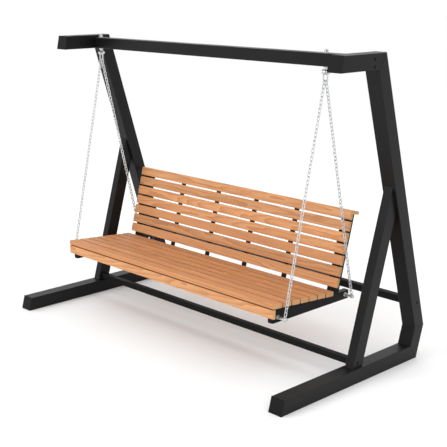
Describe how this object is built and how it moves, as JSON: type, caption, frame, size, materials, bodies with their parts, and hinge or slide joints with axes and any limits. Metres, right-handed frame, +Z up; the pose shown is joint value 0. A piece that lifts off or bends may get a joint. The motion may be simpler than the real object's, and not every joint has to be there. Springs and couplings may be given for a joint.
{
  "type": "porch swing",
  "caption": "Free-standing porch swing: a slatted wooden bench hung on chains under the top beam of a black steel tube stand.",
  "frame": {"origin": "centre of the bounding box on the ground, under the stand", "axes": "+X towards the right side frame as seen from the front, +Y towards the back, +Z up"},
  "size_m": [2.366, 1.222, 1.773],
  "materials": {
    "stand_black": "satin black powder coat",
    "bench_frame_black": "satin black powder coat",
    "black_plastic": "matt black moulded plastic",
    "black_bolts": "black coated bolt heads",
    "slat_wood": "oiled wood, light reddish brown, grain along the slats",
    "galvanised_steel": "bright galvanised steel"
  },
  "bodies": {
    "stand": {"foot_left": "stand_black", "foot_right": "stand_black", "lower_leg_left": "stand_black", "lower_leg_right": "stand_black", "rear_leg_left": "stand_black", "rear_leg_right": "stand_black", "top_arm_left": "stand_black", "top_arm_right": "stand_black", "front_strut_left": "stand_black", "front_strut_right": "stand_black", "frame_end_caps": "black_plastic", "top_beam": "stand_black", "front_cross_bar": "stand_black", "rear_cross_bar": "stand_black", "bar_end_plates": "stand_black", "frame_bolts": "black_bolts", "hanger_eyebolt_left": "galvanised_steel", "hanger_eyebolt_right": "galvanised_steel", "hanger_washers": "galvanised_steel", "hanger_nuts": "galvanised_steel"},
    "swing": {"shackle_left": "galvanised_steel", "shackle_right": "galvanised_steel", "shackle_pins": "galvanised_steel", "shackle_nuts": "galvanised_steel", "chain_front_left": "galvanised_steel", "chain_front_right": "galvanised_steel", "chain_rear_left": "galvanised_steel", "chain_rear_right": "galvanised_steel", "rail_bolts": "galvanised_steel", "rail_nuts": "galvanised_steel", "rail_washers": "galvanised_steel", "rail_sleeves": "galvanised_steel", "seat_rail_left": "bench_frame_black", "seat_rail_right": "bench_frame_black", "back_upright_left": "bench_frame_black", "back_upright_right": "bench_frame_black", "seat_bearers": "bench_frame_black", "rail_end_caps": "black_plastic", "seat_cross_tube_front": "bench_frame_black", "seat_cross_tube_rear": "bench_frame_black", "slat_bars": "bench_frame_black", "slat_screws": "galvanised_steel", "seat_slat_1": "slat_wood", "seat_slat_2": "slat_wood", "seat_slat_3": "slat_wood", "seat_slat_4": "slat_wood", "seat_slat_5": "slat_wood", "seat_slat_6": "slat_wood", "seat_slat_7": "slat_wood", "front_fascia": "slat_wood", "back_slat_1": "slat_wood", "back_slat_2": "slat_wood", "back_slat_3": "slat_wood", "back_slat_4": "slat_wood", "back_slat_5": "slat_wood", "back_slat_6": "slat_wood", "back_slat_7": "slat_wood", "back_cap_slat": "slat_wood"}
  },
  "joints": [
    {"name": "swing", "type": "hinge", "parent": "stand", "child": "swing", "pos_m": [0, 0.039, 1.655], "axis": [1, 0, 0], "range_deg": [-18, 18]}
  ]
}
